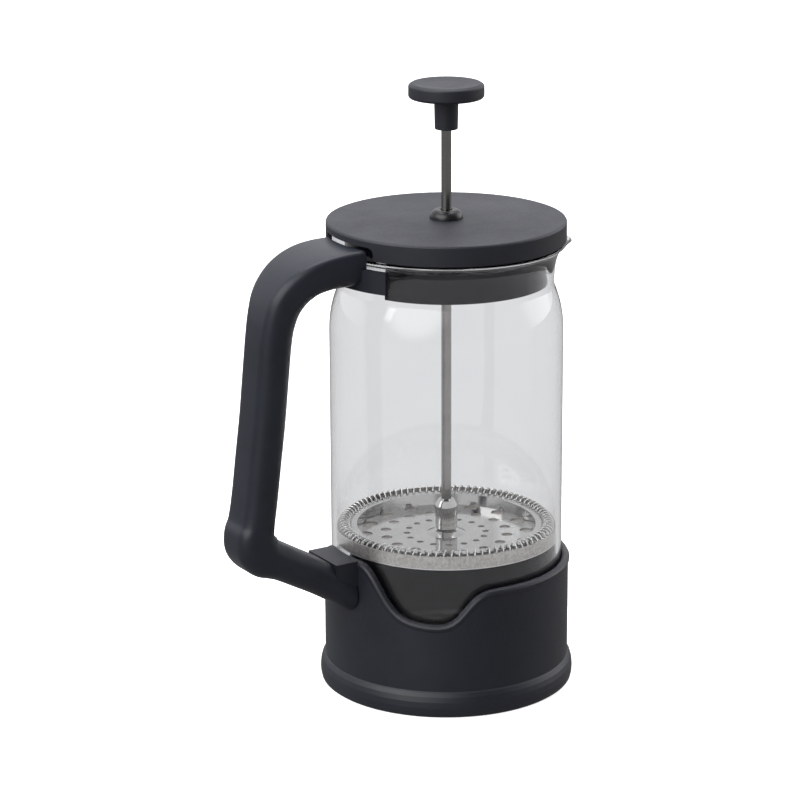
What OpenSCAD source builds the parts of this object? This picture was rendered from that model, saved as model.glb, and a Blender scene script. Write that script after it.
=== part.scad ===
// One-litre plunger coffee maker: glass beaker in a black moulded holder with a side handle,
// drop-on lid, and a plunger of knob, rod and spring-edged filter.
// Origin: centre of the holder's underside, on the beaker axis. +Z up, handle toward -X, spout +X.

/* [Glass beaker] */
// Outside diameter of the straight glass body
glass_d = 97; // [84:0.5:120]
// Thickness of the glass
glass_t = 2; // [1.6:0.1:2.6]
// Height of the beaker from its foot to its rim
glass_h = 185; // [165:1:230]
// How far the neck is drawn in on each side from the body
neck_in = 4.2; // [3:0.1:6]
// Height of the drawn-in neck, from the shoulder to the flare
neck_h = 8; // [6:0.5:14]
// Height of the shoulder between body and neck
shoulder_h = 20; // [14:1:26]
// Height of the flared rim
flare_h = 12; // [9:0.5:16]
// How far the spout reaches out past the rim
spout_out = 3; // [2:0.5:5]
// Width of the spout at the rim
spout_w = 18; // [12:1:24]
// Angle the beaker is turned in its holder
spout_turn = 25; // [0:1:60]

/* [Holder cup] */
// Wall thickness of the cup that holds the beaker
cup_t = 2.4; // [2:0.1:3.5]
// Thickness of the cup floor
floor_t = 3; // [2:0.1:5]
// Height of the cup wall at the handle side
cup_h = 62.7; // [56:0.1:72]
// How far the wall drops from there to the level run round the spout side
step_drop = 8.4; // [5:0.1:12]
// How far the wall drops from there to the bottom of each side dip
dip_drop = 23; // [15:0.5:30]
// Radial thickness added by the rounded foot bead
bead_out = 2.1; // [1:0.1:4]
// Height of the foot bead
bead_h = 11; // [7:0.5:15]
// How far the rounded lip stands out from the wall
lip_out = 0.6; // [0.3:0.1:1.2]
// Thickness of the cushion disc under the glass
pad_t = 1.6; // [1:0.1:3]
// Width of the block that joins the arm at the back of the cup
lug_w = 22.8; // [18:0.2:26]
// How far that block stands out from the wall
lug_out = 9; // [6:0.5:12]

/* [Handle] */
// Half thickness of the grip, front to back
grip_a = 7.2; // [6:0.1:9]
// Half width of the grip, side to side
grip_b = 11; // [9:0.1:14]
// Half width of the flat block under the lid
block_b = 15.5; // [13:0.1:17]
// Half thickness of that block
block_a = 6.9; // [6:0.1:8]
// Gap between the beaker wall and the middle of the upper grip
grip_reach = 35.4; // [30:0.5:45]
// How much further out the handle stands at its heel
heel_kick = 10.7; // [4:0.5:16]
// Half angle of the saddle that backs up the glass rim
saddle_half = 30; // [22:1:34]
// Thickness of the saddle
saddle_t = 2.4; // [2:0.1:3.5]
// Height of the saddle
saddle_h = 9; // [8:0.5:11]

/* [Lid] */
// Thickness of the lid at its rim, skirt included
lid_h = 8.8; // [7:0.1:12]
// Thickness of the lid's top
lid_t = 2.8; // [2:0.1:3.5]
// Thickness of the lid's skirt
skirt_t = 2.2; // [1.6:0.1:3]
// Half width of the skirt's notch over the handle
notch_b = 18; // [16:0.2:20]
// Height of that notch
notch_h = 5.4; // [4:0.1:6]
// Depth of the inner collar below the lid's skirt
collar_h = 17; // [12:0.5:22]
// Thickness of the inner collar
collar_t = 1.8; // [1.4:0.1:2.6]
// Half angle over which the collar is cut away at the handle
collar_gap = 22; // [15:1:30]
// Diameter of the rod guide's dome
guide_d = 13.8; // [11:0.2:17]
// Height of the rod guide's dome
guide_h = 3.6; // [3:0.1:5]

/* [Plunger] */
// Diameter of the rod
rod_d = 4.2; // [3.5:0.1:5]
// Height of the filter's perforated floor above the table, as drawn
filter_z = 62.5; // [48:0.5:80]
// Length of rod that shows between the lid's dome and the knob
rod_show = 33.4; // [20:0.2:60]
// Diameter of the knob's disc
knob_d = 31; // [26:0.5:38]
// Thickness of the knob's disc
knob_t = 6.2; // [5:0.1:9]
// Diameter of the knob's stem
stem_d = 10; // [9.4:0.1:13]
// Length of the knob's stem
stem_h = 12.8; // [11:0.1:18]
// Diameter of the hub on the filter
hub_d = 9.3; // [8:0.1:12]
// Height of the hub on the filter
hub_h = 14.4; // [11:0.1:18]

/* [Filter] */
// Turns of wire in the edge spring
spring_turns = 90; // [60:1:100]
// Diameter of the spring wire
wire_d = 0.5; // [0.4:0.05:0.6]
// Half the height of one spring loop
loop_r = 2.4; // [2.2:0.05:2.8]
// Height of the loops above the screen's floor
loop_lift = 2.3; // [0.3:0.1:3]
// Thickness of the perforated plate
plate_t = 0.6; // [0.4:0.05:0.8]
// Thickness of the woven screen
mesh_t = 0.3; // [0.2:0.05:0.4]
// Height of the screen's upturned rim
mesh_h = 6; // [5:0.1:7]
// Holes in each of the three rings of the perforated plate
ring_holes = 16; // [10:1:18]
// Diameter of the holes in the inner ring
hole_in = 2.8; // [2:0.1:3.4]
// Diameter of the holes in the middle ring
hole_mid = 4.5; // [3:0.1:5]
// Diameter of the holes in the outer ring
hole_out = 6; // [4:0.1:6.6]

/* [Hidden] */
$fn = 96;

// Clearances
seat_gap = 0.1;   // one piece resting on another
fit_gap = 0.05;   // pieces assembled into each other
slip_gap = 0.3;   // pieces that slide past each other
lift_gap = 0.6;   // beaker in the holder, and lid collar in the neck

// Beaker levels and radii
glass_r = glass_d / 2;
glass_ri = glass_r - glass_t;
neck_r = glass_r - neck_in;
neck_ri = neck_r - glass_t;
foot_z = floor_t + pad_t + seat_gap;
rim_z = foot_z + glass_h;
flare_z = rim_z - flare_h;
neck_z = flare_z - neck_h;
shoulder_z = neck_z - shoulder_h;
rim_r = glass_r + 0.8;

// Holder
cup_ri = glass_r + lift_gap;
cup_r = cup_ri + cup_t;
dip_z = cup_h - dip_drop;
level_z = cup_h - step_drop;
band_z = dip_z - 8;
saddle_ri = rim_r + lift_gap;
saddle_r = saddle_ri + saddle_t;
saddle_z = rim_z - 2.8 - saddle_h;
block_z = saddle_z + 8.6;
saddle_screw_z = saddle_z + 6;
saddle_screw_y = 6;
screw_d = 2.6;
screw_head_d = 4.6;
arm_screw_d = 3.2;
arm_screw_head = 6;
arm_end_z = 48.2;
arm_screw_z = arm_end_z + 1;
lug_z = 11;

// Lid
lid_r = rim_r + 0.2;
lid_z = rim_z + seat_gap + 0.3;
lid_top = lid_z + lid_h;
lid_under = lid_top - lid_t;
collar_r = neck_ri - lift_gap;
collar_z = lid_z - collar_h;
guide_shank = guide_d - 4.4;
guide_top = lid_top + guide_h;

// Plunger
stem_z = guide_top + rod_show;
disc_z = stem_z + stem_h;
rod_top = stem_z + 9.6;
insert_d = rod_d + 2.4;
mesh_r = glass_ri - slip_gap;
mesh_z = filter_z - mesh_t - fit_gap;
flange_r = neck_ri - lift_gap;
pierce_r = flange_r - 1;
wire_out_r = mesh_r - mesh_t - 0.15 - wire_d / 2;
loop_c = (wire_out_r + pierce_r) / 2;
loop_reach = (wire_out_r - pierce_r) / 2;
loop_z = mesh_z + mesh_t + loop_lift + wire_d / 2 + loop_r;
dish_r = pierce_r - 3.4;
plate_t2 = 0.7;
cross_z = mesh_z - fit_gap - plate_t2;
cross_hub_h = 4.2;
washer_t = 0.6;
rod_bottom = cross_z - cross_hub_h;

// Rings of holes, inner to outer, as shares of the dished floor
ring_r = [dish_r * 0.445, dish_r * 0.69, dish_r * 0.915];

// Height of the cup's edge at an angle from the handle, the same on both sides
function edge_z(a) = let (d = cup_h - dip_z, s = cup_h - level_z)
    lookup(abs(a), [[0, cup_h], [15, cup_h], [18, cup_h - 0.04 * d], [21.5, cup_h - 0.16 * d],
    [25, cup_h - 0.36 * d], [29, cup_h - 0.61 * d], [33, cup_h - 0.8 * d], [38, cup_h - 0.91 * d],
    [45, cup_h - 0.975 * d], [52, dip_z], [56.5, dip_z + 0.01 * d], [61, dip_z + 0.1 * (d - s)],
    [64.5, dip_z + 0.35 * (d - s)], [68, dip_z + 0.66 * (d - s)], [72, dip_z + 0.88 * (d - s)],
    [77, level_z - 0.1], [84, level_z], [180, level_z]]);
// The same, eased so that no corner shows
function eased_z(a) = let (h = 2.2)
    (edge_z(a - 2 * h) + 2 * edge_z(a - h) + 3 * edge_z(a) + 2 * edge_z(a + h) + edge_z(a + 2 * h)) / 9;
function edge_a(a) = a > 180 ? a - 360 : a;

// Ring-shaped polyhedron: sections[i] is a loop of points, the last joins the first
module closed_sweep(sections) {
    n = len(sections);
    m = len(sections[0]);
    polyhedron(points = [for (s = sections, p = s) p], faces = [for (i = [0:n - 1], j = [0:m - 1])
        let (k = (i + 1) % n, l = (j + 1) % m)
        each [[i * m + j, k * m + l, k * m + j], [i * m + j, i * m + l, k * m + l]]], convexity = 8);
}

// Open tube polyhedron with flat ends
module open_sweep(sections) {
    n = len(sections);
    m = len(sections[0]);
    polyhedron(points = [for (s = sections, p = s) p], faces = concat(
        [for (i = [0:n - 2], j = [0:m - 1]) let (l = (j + 1) % m)
            each [[i * m + j, i * m + l, (i + 1) * m + l], [i * m + j, (i + 1) * m + l, (i + 1) * m + j]]],
        [[for (j = [m - 1:-1:0]) j]], [[for (j = [0:m - 1]) (n - 1) * m + j]]), convexity = 8);
}

// Cylinder lying along X, from x0 to x1
module x_rod(x0, x1, d, y = 0, z = 0) {
    translate([x0, y, z]) rotate([0, 90, 0]) cylinder(h = x1 - x0, d = d, $fn = 48);
}

// Upper wall of the cup with its wavy edge and the rounded lip that follows it
module upper_wall() {
    step = 2.5;
    w = cup_r + 0.03;
    o = cup_r + lip_out;
    lip = [[w, -3], [o - 0.1, -2.3], [o, -1.4], [o - 0.5, -0.5], [cup_r - 0.9, 0], [cup_ri + 0.7, 0],
        [cup_ri - 1, -1.2]];
    closed_sweep([for (a = [0:step:360 - step]) let (z = eased_z(edge_a(a)), rise = (eased_z(edge_a(a) + 1)
        - eased_z(edge_a(a) - 1)) / (cup_r * 2 * PI / 180), n = sqrt(1 + rise * rise))
        concat([for (p = [[cup_ri - 1, band_z - 1], [w, band_z - 1]]) [-cos(a) * p[0], -sin(a) * p[0], p[1]]],
        [for (p = lip) let (b = a - rise * p[1] / n / (cup_r * PI / 180))
            [-cos(b) * p[0], -sin(b) * p[0], z + p[1] / n]])]);
}

module base_cup() color("#26272b") difference() {
    union() {
        rotate_extrude() polygon([[0, 0], [cup_r + 0.6, 0], [cup_r + bead_out * 0.75, 0.7],
            [cup_r + bead_out * 0.93, 2.2], [cup_r + bead_out, 4.4], [cup_r + bead_out * 0.9, 6.8],
            [cup_r + bead_out * 0.62, 8.9], [cup_r + bead_out * 0.2, bead_h - 0.5], [cup_r, bead_h],
            [cup_r, band_z], [cup_ri - 2, band_z], [cup_ri - 2, floor_t], [0, floor_t]]);
        upper_wall();
        translate([-cup_r - lug_out, -lug_w / 2, cup_h - lug_z]) cube([lug_out + cup_t / 2, lug_w, lug_z]);
    }
    translate([0, 0, floor_t]) cylinder(h = cup_h, r = cup_ri);
    x_rod(-cup_r - 1, -cup_ri + 2, arm_screw_d + 0.3, z = arm_screw_z);
    translate([-cup_ri - 1.4, 0, arm_screw_z]) rotate([0, 90, 0])
        cylinder(h = 2.4, d1 = arm_screw_d + 0.3,
            d2 = arm_screw_d + 0.3 + 2.4 / 1.15 * (arm_screw_head + 0.4 - arm_screw_d), $fn = 48);
}

module base_pad() color("#3a3b3e") translate([0, 0, floor_t])
    difference() {
        cylinder(h = pad_t, r = cup_ri - 3);
        translate([0, 0, -1]) cylinder(h = pad_t + 2, r = cup_ri - 15);
    }

// Handle stations: distance out from the axis, height, half thickness, half width, outer and inner corner radius
grip_x = glass_r + grip_reach;
function grip_z(t) = (block_z - 26) * (1 - t) + (arm_end_z + 46) * t;
STATIONS = [
    [cup_r - 4, block_z + 0.3, block_a, block_b, 2.2, 4.4],
    [cup_r + 4.5, block_z + 0.1, block_a, block_b, 2.2, 4.4],
    [grip_x - 21, block_z - 0.5, block_a - 0.1, block_b - 0.3, 2.5, 4.6],
    [grip_x - 14.4, block_z - 2.2, block_a, block_b - 1, 3.2, 5],
    [grip_x - 8.6, block_z - 5.8, (block_a + grip_a) / 2 + 0.2, (block_b + grip_b) / 2, 4.2, 5.6],
    [grip_x - 4.2, block_z - 11, grip_a + 0.3, grip_b + 1.1, 5, 5.9],
    [grip_x - 1.6, block_z - 17.6, grip_a + 0.1, grip_b + 0.4, 5.6, 6.2],
    [grip_x + 0.1, block_z - 26, grip_a, grip_b, 6, 6.4],
    [grip_x + 0.18 * heel_kick, grip_z(0.25), grip_a, grip_b, 6.2, 6.5],
    [grip_x + 0.34 * heel_kick, grip_z(0.5), grip_a, grip_b, 6.2, 6.5],
    [grip_x + 0.54 * heel_kick, grip_z(0.75), grip_a, grip_b, 6.2, 6.5],
    [grip_x + 0.74 * heel_kick, arm_end_z + 46, grip_a, grip_b, 6.2, 6.5],
    [grip_x + 0.89 * heel_kick, arm_end_z + 36.1, grip_a + 0.2, grip_b, 6.2, 6.5],
    [grip_x + 0.98 * heel_kick, arm_end_z + 31.1, grip_a + 1.2, grip_b, 6.2, 6.5],
    [grip_x + 0.91 * heel_kick, arm_end_z + 26.4, grip_a + 2.1, grip_b, 6.3, 6.5],
    [grip_x + 0.65 * heel_kick, arm_end_z + 22.5, grip_a + 1.7, grip_b + 0.1, 6.4, 6.5],
    [grip_x + 0.27 * heel_kick, arm_end_z + 20.2, grip_a + 0.8, grip_b + 0.2, 6.4, 6.5],
    [grip_x - 1.4, arm_end_z + 18.1, grip_a + 0.3, grip_b + 0.3, 6.5, 6.5],
    [cup_r + 0.72 * (grip_x - cup_r), arm_end_z + 13.8, grip_a + 0.1, grip_b + 0.5, 6.6, 6.6],
    [cup_r + 0.45 * (grip_x - cup_r), arm_end_z + 8.9, grip_a, grip_b + 0.8, 6.8, 6.8],
    [cup_r + 0.2 * (grip_x - cup_r), arm_end_z + 4, grip_a, grip_b + 1, 6.8, 6.8],
    [cup_r - 6, arm_end_z - 3.4, grip_a, grip_b + 1, 6.8, 6.8]];

function spline(p, i, t) = let (a = p[max(i - 1, 0)], b = p[i], c = p[i + 1], d = p[min(i + 2, len(p) - 1)])
    0.5 * (2 * b + (c - a) * t + (2 * a - 5 * b + 4 * c - d) * t * t + (3 * b - a - 3 * c + d) * t * t * t);
// Rounded oblong of 24 points: n is the outward side, w the width
function oblong(a, b, ro, ri) = [for (q = [0:3], k = [0:5])
    let (r = q < 2 ? ro : ri, f = q * 90 + k * 18, sn = q < 2 ? 1 : -1, sw = (q == 0 || q == 3) ? 1 : -1)
    [sn * (a - r) + r * sin(f), sw * (b - r) + r * cos(f)]];

module handle_sweep() {
    sub = 3;
    path = concat([for (i = [0:len(STATIONS) - 2], k = [0:sub - 1]) spline(STATIONS, i, k / sub)],
        [STATIONS[len(STATIONS) - 1]]);
    last = len(path) - 1;
    open_sweep([for (i = [0:last]) let (s = path[i], p = path[max(i - 1, 0)], q = path[min(i + 1, last)],
        dx = q[0] - p[0], dz = q[1] - p[1], l = sqrt(dx * dx + dz * dz), nx = -dz / l, nz = dx / l)
        [for (c = oblong(s[2], s[3], s[4], s[5])) [-(s[0] + c[0] * nx), c[1], s[1] + c[0] * nz]]]);
}

module handle() color("#26272b") difference() {
    handle_sweep();
    translate([0, 0, arm_end_z - 60]) cylinder(h = 110, r = cup_r + lip_out + seat_gap);
    translate([0, 0, block_z - 30]) cylinder(h = 60, r = saddle_ri + seat_gap);
    translate([0, 0, block_z - 30]) cylinder(h = saddle_z + saddle_h + seat_gap - block_z + 30,
        r = saddle_r + seat_gap);
    translate([-cup_r - lug_out - seat_gap, -lug_w / 2 - seat_gap, cup_h - lug_z - seat_gap])
        cube([lug_out + 10, lug_w + 2 * seat_gap, lug_z + 20]);
    for (y = [-1, 1]) x_rod(-saddle_r - 9, -saddle_ri, screw_d + 2 * fit_gap, y * saddle_screw_y, saddle_screw_z);
    x_rod(-cup_r - 10, -cup_ri, arm_screw_d + 2 * fit_gap, 0, arm_screw_z);
}

module neck_saddle() color("#26272b") difference() {
    translate([0, 0, saddle_z]) rotate([0, 0, 180 - saddle_half])
        rotate_extrude(angle = 2 * saddle_half) translate([saddle_ri, 0]) square([saddle_t, saddle_h]);
    for (y = [-1, 1]) {
        x_rod(-saddle_r - 2, -saddle_ri + 2, screw_d + 2 * fit_gap, y * saddle_screw_y, saddle_screw_z);
        x_rod(-saddle_r + 0.9, -saddle_ri + 3, screw_head_d + 2 * fit_gap, y * saddle_screw_y, saddle_screw_z);
    }
}

// Pan-head screw lying along X with its head toward +X
module side_screw(x, y, z, d, head, reach, head_t) translate([x, y, z]) rotate([0, -90, 0])
    difference() {
        union() {
            cylinder(h = head_t, d = head, $fn = 48);
            cylinder(h = reach, d = d, $fn = 48);
        }
        for (a = [0, 90]) rotate([0, 0, a]) translate([-head / 3, -0.3, -1]) cube([head / 1.5, 0.6, 1.6]);
    }

module saddle_screw(s) {
    side_screw(-saddle_r + 2, s * saddle_screw_y, saddle_screw_z, screw_d, screw_head_d, 9, 1.1 - seat_gap);
}
module saddle_screw_l() color("#a9abae") saddle_screw(-1);
module saddle_screw_r() color("#a9abae") saddle_screw(1);

module arm_screw() color("#a9abae") translate([-cup_ri - 0.25, 0, arm_screw_z]) rotate([0, -90, 0])
    difference() {
        union() {
            cylinder(h = 1.15, d1 = arm_screw_head + 0.4, d2 = arm_screw_d, $fn = 48);
            cylinder(h = 11, d = arm_screw_d, $fn = 48);
        }
        for (a = [0, 90]) rotate([0, 0, a]) translate([-1.8, -0.35, -1]) cube([3.6, 0.7, 1.6]);
    }

// Outline of the glass, one wall: d is 0 on the outside and the glass thickness on the inside
function glass_line(d) = [[glass_r - 8, foot_z + d], [glass_r - 3.6, foot_z + 0.9 + 0.9 * d],
    [glass_r - 0.9 - d * 0.7, foot_z + 3.8 + 0.6 * d], [glass_r - d, foot_z + 9], [glass_r - d, shoulder_z],
    [glass_r - 0.2 * neck_in - d, shoulder_z + 0.4 * shoulder_h],
    [glass_r - 0.5 * neck_in - d, shoulder_z + 0.7 * shoulder_h],
    [glass_r - 0.85 * neck_in - d, shoulder_z + 0.9 * shoulder_h], [neck_r - d, neck_z + 0.5],
    [neck_r - d, flare_z], [neck_r + 0.12 * (rim_r - neck_r) - d, flare_z + 0.3 * flare_h],
    [neck_r + 0.4 * (rim_r - neck_r) - 0.95 * d, flare_z + 0.62 * flare_h],
    [neck_r + 0.8 * (rim_r - neck_r) - 0.8 * d, flare_z + 0.84 * flare_h + 0.12 * d]];

module spout_form(shrink) rotate([0, 0, -spout_turn]) hull() {
    $fn = 32;
    translate([rim_r + spout_out - 2, 0, rim_z - 2]) sphere(r = 2 - shrink);
    for (y = [-1, 1]) translate([rim_r - 5, y * (spout_w / 2 - 2), rim_z - 2]) sphere(r = 2 - shrink);
    translate([neck_r - 2.6, 0, flare_z - 1]) sphere(r = 2 - shrink);
    translate([neck_r - 8, 0, rim_z - 3]) sphere(r = 2 - shrink);
    if (shrink > 0) translate([rim_r - 3, 0, rim_z + 6]) cube([8 + spout_out, spout_w - 4, 2], center = true);
}

module beaker() color([0.85, 0.88, 0.9, 0.35]) {
    outer = glass_line(0);
    inner = glass_line(glass_t);
    difference() {
        union() {
            rotate_extrude($fn = 128) polygon(concat([[0, foot_z]], outer,
                [[rim_r, rim_z - 1.1], [rim_r - 0.5, rim_z - 0.2], [rim_r - 1.2, rim_z],
                [rim_r - 2.1, rim_z - 0.35]], [for (i = [len(inner) - 1:-1:0]) inner[i]],
                [[0, foot_z + glass_t]]));
            difference() {
                spout_form(0);
                translate([0, 0, rim_z - 40]) cylinder(h = 60, r = neck_ri + 0.8);
            }
        }
        spout_form(1.2);
        translate([-80, -80, rim_z]) cube([160, 160, 20]);
    }
}

module lid_cap() color("#26272b") difference() {
    rotate_extrude() polygon([[0, lid_under], [lid_r - skirt_t, lid_under], [lid_r - skirt_t, lid_z],
        [lid_r - 0.3, lid_z], [lid_r, lid_z + 0.3], [lid_r, lid_top - 1.1], [lid_r - 0.35, lid_top - 0.5],
        [lid_r - 1, lid_top - 0.25], [lid_r * 0.6, lid_top - 0.05], [0, lid_top]]);
    translate([0, 0, lid_under - 1]) cylinder(h = 8, d = guide_shank + 2 * fit_gap);
    translate([-lid_r - 6, 0, lid_z]) rotate([90, 0, 90]) linear_extrude(12) polygon([[-notch_b, -1],
        [notch_b, -1], [notch_b, notch_h - 2.4], [notch_b - 0.7, notch_h - 0.7], [notch_b - 2.4, notch_h],
        [2.4 - notch_b, notch_h], [0.7 - notch_b, notch_h - 0.7], [-notch_b, notch_h - 2.4]]);
}

module lid_collar() color("#202124") difference() {
    translate([0, 0, collar_z]) cylinder(h = lid_under - fit_gap - collar_z, r = collar_r);
    translate([0, 0, collar_z - 1]) cylinder(h = 60, r = collar_r - collar_t);
    linear_extrude(lid_z - 1) polygon([[0, 0], [-80, -80 * tan(collar_gap)], [-80, 80 * tan(collar_gap)]]);
    for (a = [-24:8:24]) rotate([0, 0, a]) translate([collar_r - 6, -1.1, collar_z + 3])
        cube([12, 2.2, collar_h - 5]);
}

module rod_guide() color("#1c1d20") difference() {
    rotate_extrude() polygon([[0, lid_under - 1.4], [guide_shank / 2 + 0.2, lid_under - 1.4],
        [guide_shank / 2 + 0.8, lid_under - fit_gap], [guide_shank / 2, lid_under - fit_gap],
        [guide_shank / 2, lid_top + fit_gap], [guide_d / 2, lid_top + fit_gap],
        [guide_d / 2 - 0.15, lid_top + 0.28 * guide_h], [guide_d / 2 - 0.75, lid_top + 0.55 * guide_h],
        [guide_d / 2 - 1.8, lid_top + 0.8 * guide_h], [guide_d / 2 - 3.1, lid_top + 0.96 * guide_h],
        [guide_d / 2 - 3.9, guide_top], [0, guide_top]]);
    translate([0, 0, lid_under - 5]) cylinder(h = 20, d = rod_d + 2 * slip_gap, $fn = 64);
}

module knob() color("#26272b") difference() {
    rotate_extrude() polygon([[0, stem_z], [stem_d / 2 - 0.4, stem_z], [stem_d / 2 - 0.15, stem_z + 0.3],
        [stem_d / 2, disc_z - 0.5], [stem_d / 2 + 0.6, disc_z], [knob_d / 2 - 1.2, disc_z],
        [knob_d / 2 - 0.3, disc_z + 0.6], [knob_d / 2, disc_z + 1.5], [knob_d / 2, disc_z + knob_t - 1.2],
        [knob_d / 2 - 0.4, disc_z + knob_t - 0.35], [knob_d / 2 - 1.2, disc_z + knob_t],
        [knob_d / 2 - 2.2, disc_z + knob_t - 0.05], [knob_d / 4, disc_z + knob_t - 0.6],
        [0, disc_z + knob_t - 0.7]]);
    translate([0, 0, stem_z - 1]) cylinder(h = 1.5 + fit_gap, d = rod_d + 0.6, $fn = 64);
    translate([0, 0, stem_z + 0.5]) cylinder(h = rod_top - stem_z, d = insert_d + 2 * fit_gap, $fn = 64);
}

module knob_insert() color("#b39a5a") translate([0, 0, stem_z + 0.5 + fit_gap]) difference() {
    cylinder(h = rod_top - stem_z - 2 * fit_gap, d = insert_d, $fn = 64);
    translate([0, 0, -1]) cylinder(h = rod_top - stem_z + 1, d = rod_d + 2 * fit_gap, $fn = 64);
    translate([0, 0, (rod_top - stem_z) / 2]) rotate_extrude() translate([insert_d / 2 - 0.25, -0.8])
        square([1, 1.6]);
}

module rod() color("#c9cbce") {
    translate([0, 0, rod_bottom]) cylinder(h = 0.6, d1 = rod_d - 1, d2 = rod_d, $fn = 64);
    translate([0, 0, rod_bottom + 0.6]) cylinder(h = rod_top - rod_bottom - 0.6, d = rod_d, $fn = 64);
}

module rod_hub() color("#d2d3d5") {
    z0 = filter_z + plate_t + 1.2 + fit_gap;
    difference() {
        rotate_extrude() polygon([[0, z0], [hub_d / 2 - 0.9, z0], [hub_d / 2, z0 + 1], [hub_d / 2, z0 + hub_h - 4],
            [hub_d / 2 - 0.35, z0 + hub_h - 2.6], [hub_d / 2 - 1.1, z0 + hub_h - 1.3],
            [hub_d / 2 - 2, z0 + hub_h - 0.6], [rod_d / 2 + 0.2, z0 + hub_h - 0.4], [0, z0 + hub_h - 0.4]]);
        translate([0, 0, z0 - 1]) cylinder(h = hub_h + 2, d = rod_d + 2 * fit_gap, $fn = 64);
    }
}

module perforated_plate() color("#cfd0d2") {
    z = filter_z;
    top = loop_z + plate_t / 2;
    difference() {
        rotate_extrude($fn = 128) polygon([[0, z + 1.2], [hub_d / 2 + 0.4, z + 1.2], [hub_d / 2 + 3.4, z],
            [dish_r - 1, z], [dish_r, z + 0.5], [dish_r + 1, top - plate_t], [flange_r, top - plate_t],
            [flange_r, top], [dish_r + 0.3, top], [dish_r - 0.7, z + plate_t], [hub_d / 2 + 3.6, z + plate_t],
            [hub_d / 2 + 0.6, z + 1.2 + plate_t], [0, z + 1.2 + plate_t]]);
        translate([0, 0, z - 2]) cylinder(h = 8, d = rod_d + 2 * fit_gap, $fn = 64);
        for (k = [0:ring_holes - 1]) rotate([0, 0, 5.2 + (k + 0.5) * 360 / ring_holes])
            translate([ring_r[0], 0, z - 1]) cylinder(h = 3, d = hole_in, $fn = 24);
        for (k = [0:ring_holes - 1]) rotate([0, 0, 5.2 + k * 360 / ring_holes])
            translate([ring_r[1], 0, z - 1]) cylinder(h = 3, d = hole_mid, $fn = 24);
        for (k = [0:ring_holes - 1]) rotate([0, 0, 5.2 + (k + 0.5) * 360 / ring_holes])
            translate([ring_r[2], 0, z - 1]) cylinder(h = 3, d = hole_out, $fn = 24);
        for (k = [0:spring_turns - 1]) rotate([0, 0, (k + 0.5) * 360 / spring_turns])
            translate([pierce_r, 0, loop_z - 1]) cylinder(h = 2, d = wire_d + 1.1, $fn = 16);
    }
}

// Endless coil: each loop passes round the plate's flange through its own hole
module edge_spring() color("#bfc0c2") {
    per = 8;
    n = spring_turns * per;
    w = wire_d / 2 * 1.15;
    closed_sweep([for (i = [0:n - 1]) let (u = 360 * i / per, a = 360 * i / n, c = cos(a), s = sin(a),
        tr = -loop_reach * sin(u), tz = loop_r * cos(u), ta = loop_c / spring_turns,
        l = sqrt(tr * tr + tz * tz + ta * ta), m = sqrt(tr * tr + tz * tz), er = tz / m, ez = -tr / m,
        br = -ta * ez / l, bz = ta * er / l, ba = (tr * ez - tz * er) / l)
        [for (q = [0:3]) let (x = w * cos(q * 90 + 45), y = w * sin(q * 90 + 45),
            r = loop_c + loop_reach * cos(u) + x * er + y * br, t = y * ba,
            z = loop_z + loop_r * sin(u) + x * ez + y * bz)
            [r * c - t * s, r * s + t * c, z]]]);
}

module filter_mesh() color("#9c958c") difference() {
    rotate_extrude($fn = 128) polygon([[0, mesh_z], [mesh_r - 0.6, mesh_z], [mesh_r, mesh_z + 0.6],
        [mesh_r, mesh_z + mesh_h], [mesh_r - mesh_t, mesh_z + mesh_h], [mesh_r - mesh_t, mesh_z + 0.7],
        [mesh_r - 0.7, mesh_z + mesh_t], [0, mesh_z + mesh_t]]);
    translate([0, 0, mesh_z - 1]) cylinder(h = 3, d = rod_d + 2 * fit_gap, $fn = 64);
}

module cross_plate() color("#c4c5c7") translate([0, 0, cross_z]) difference() {
    cylinder(h = plate_t2, r = flange_r);
    translate([0, 0, -1]) cylinder(h = 3, d = rod_d + 2 * fit_gap, $fn = 64);
    for (a = [0:60:300]) rotate([0, 0, a]) intersection() {
        translate([0, 0, -1]) difference() {
            cylinder(h = 3, r = flange_r - 5);
            translate([0, 0, -1]) cylinder(h = 5, d = hub_d + 10);
        }
        linear_extrude(3) translate([3.2, 0]) polygon([[0, 0], [80, -80 * tan(25)], [80, 80 * tan(25)]]);
    }
}

module cross_hub() color("#c4c5c7") translate([0, 0, rod_bottom + 1]) difference() {
    cylinder(h = cross_hub_h - 1 - washer_t - 2 * fit_gap, d = hub_d, $fn = 6);
    translate([0, 0, -1]) cylinder(h = cross_hub_h + 2, d = rod_d + 2 * fit_gap, $fn = 64);
}

module lock_washer() color("#d6d7d9") translate([0, 0, cross_z - fit_gap - washer_t]) difference() {
    cylinder(h = washer_t, d = hub_d + 1.6, $fn = 64);
    translate([0, 0, -1]) cylinder(h = 3, d = rod_d + 2 * fit_gap, $fn = 64);
}

base_cup();
base_pad();
handle();
neck_saddle();
saddle_screw_l();
saddle_screw_r();
arm_screw();
beaker();
lid_cap();
lid_collar();
rod_guide();
knob();
knob_insert();
rod();
rod_hub();
perforated_plate();
edge_spring();
filter_mesh();
cross_plate();
cross_hub();
lock_washer();
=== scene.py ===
import math

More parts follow.
